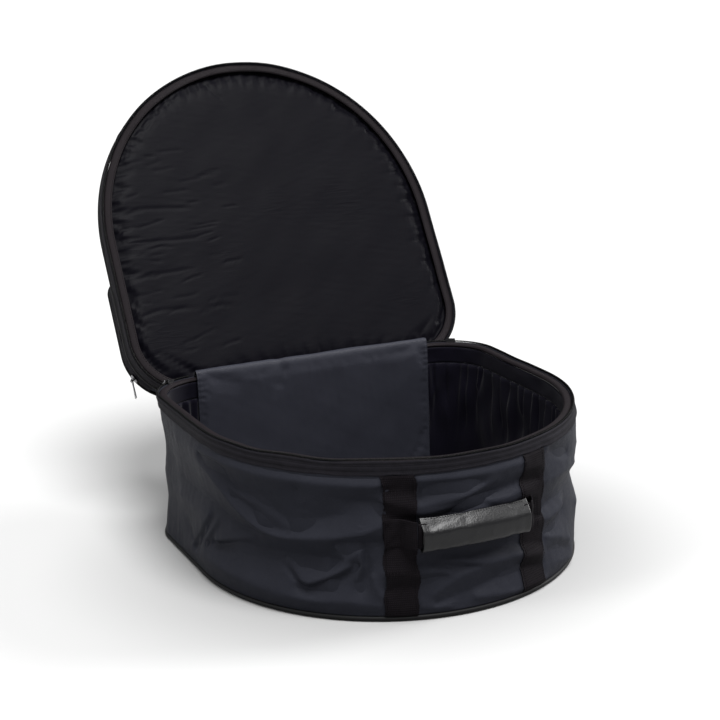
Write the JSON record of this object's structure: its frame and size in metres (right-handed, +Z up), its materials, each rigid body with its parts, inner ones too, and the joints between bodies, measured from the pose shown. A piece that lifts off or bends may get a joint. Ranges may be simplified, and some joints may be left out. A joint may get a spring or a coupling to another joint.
{
  "type": "snare drum bag",
  "caption": "Padded D-shaped snare drum bag with a zip-round hinged lid, an outer lid pocket, webbing straps and a padded carry handle, shown with its lid leaning open.",
  "frame": {"origin": "on the floor under the centre of the bag's round front, which is the centre of the drum that it holds", "axes": "+Z up, -Y towards the round front and the carry handle, +Y towards the flat back and the lid's hinge, +X to the right as seen from the front"},
  "size_m": [0.494, 0.7758, 0.5849],
  "materials": {
    "coated_nylon": "charcoal blue-grey coated nylon, satin",
    "hinge_cloth": "smooth blue-grey nylon, satin",
    "satin_lining": "black satin lining, soft sheen",
    "webbing": "brown-black woven webbing, matte",
    "zip_tape": "black woven zip tape, matte",
    "zip_coil": "black nylon zip coil, satin",
    "binding": "black binding and facing cloth, matte",
    "piping": "black vinyl piping, satin",
    "foam": "grey closed-cell foam, matte",
    "grip_leather": "black padded leatherette, satin",
    "slider_metal": "dark gunmetal, satin"
  },
  "bodies": {
    "bag_body": {"base_panel": "coated_nylon", "base_piping": "piping", "base_foam": "foam", "base_lining": "satin_lining", "wall_shell": "coated_nylon", "wall_foam": "foam", "wall_lining": "satin_lining", "wall_facing": "binding", "rim_binding": "binding", "rim_zip_tape": "zip_tape", "rim_zip_coil": "zip_coil", "hinge_panel": "hinge_cloth", "hinge_strip": "webbing", "left_strap": "webbing", "right_strap": "webbing", "left_handle_tab": "webbing", "right_handle_tab": "webbing"},
    "handle": {"handle_wrap": "grip_leather", "handle_core": "foam", "handle_webbing": "webbing"},
    "lid": {"lid_zip_coil": "zip_coil", "lid_zip_tape": "zip_tape", "lid_gusset": "coated_nylon", "lid_binding": "binding", "lid_piping": "piping", "lid_panel": "coated_nylon", "lid_foam": "foam", "lid_lining": "satin_lining", "lid_hinge_binding": "webbing", "pocket_gusset": "coated_nylon", "pocket_zip_tape": "zip_tape", "pocket_zip_coil": "zip_coil"},
    "pocket_flap": {"pocket_panel": "coated_nylon", "pocket_piping": "piping"},
    "left_slider": {"left_zip_slider": "slider_metal"},
    "left_pull": {"left_zip_pull": "slider_metal"},
    "right_slider": {"right_zip_slider": "slider_metal"},
    "right_pull": {"right_zip_pull": "slider_metal"},
    "pocket_slider": {"pocket_zip_slider": "slider_metal"},
    "pocket_pull": {"pocket_zip_pull": "slider_metal"}
  },
  "joints": [
    {"name": "lid_hinge", "type": "hinge", "parent": "bag_body", "child": "lid", "pos_m": [0, 0.2165, 0.188], "axis": [1, 0, 0], "range_deg": [0, 122]},
    {"name": "handle_swing", "type": "hinge", "parent": "bag_body", "child": "handle", "pos_m": [0, -0.258, 0.129], "axis": [-1, 0, 0], "range_deg": [0, 85]},
    {"name": "pocket_flap_fold", "type": "hinge", "parent": "lid", "child": "pocket_flap", "pos_m": [0, 0.28305, 0.14995], "axis": [-1, 0, 0], "range_deg": [0, 75]},
    {"name": "left_slider_run", "type": "hinge", "parent": "bag_body", "child": "left_slider", "pos_m": [-0.166, 0.145, 0.195], "axis": [0, 0, 1], "range_deg": [0, 55]},
    {"name": "left_pull_swing", "type": "hinge", "parent": "left_slider", "child": "left_pull", "pos_m": [-0.21395, 0.21348, 0.193], "axis": [0.8191, 0.5736, 0], "range_deg": [-8, 90]},
    {"name": "right_slider_run", "type": "hinge", "parent": "bag_body", "child": "right_slider", "pos_m": [0.166, 0.145, 0.195], "axis": [0, 0, -1], "range_deg": [0, 55]},
    {"name": "right_pull_swing", "type": "hinge", "parent": "right_slider", "child": "right_pull", "pos_m": [0.21395, 0.21348, 0.193], "axis": [0.8191, -0.5736, 0], "range_deg": [-8, 90]},
    {"name": "pocket_slider_run", "type": "hinge", "parent": "lid", "child": "pocket_slider", "pos_m": [-0.17, 0.09575, 0.34953], "axis": [0, 0.848, -0.5299], "range_deg": [-12, 25]},
    {"name": "pocket_pull_swing", "type": "hinge", "parent": "pocket_slider", "child": "pocket_pull", "pos_m": [-0.23634, 0.29349, 0.18081], "axis": [0, 0.848, -0.5299], "range_deg": [-20, 110]}
  ]
}
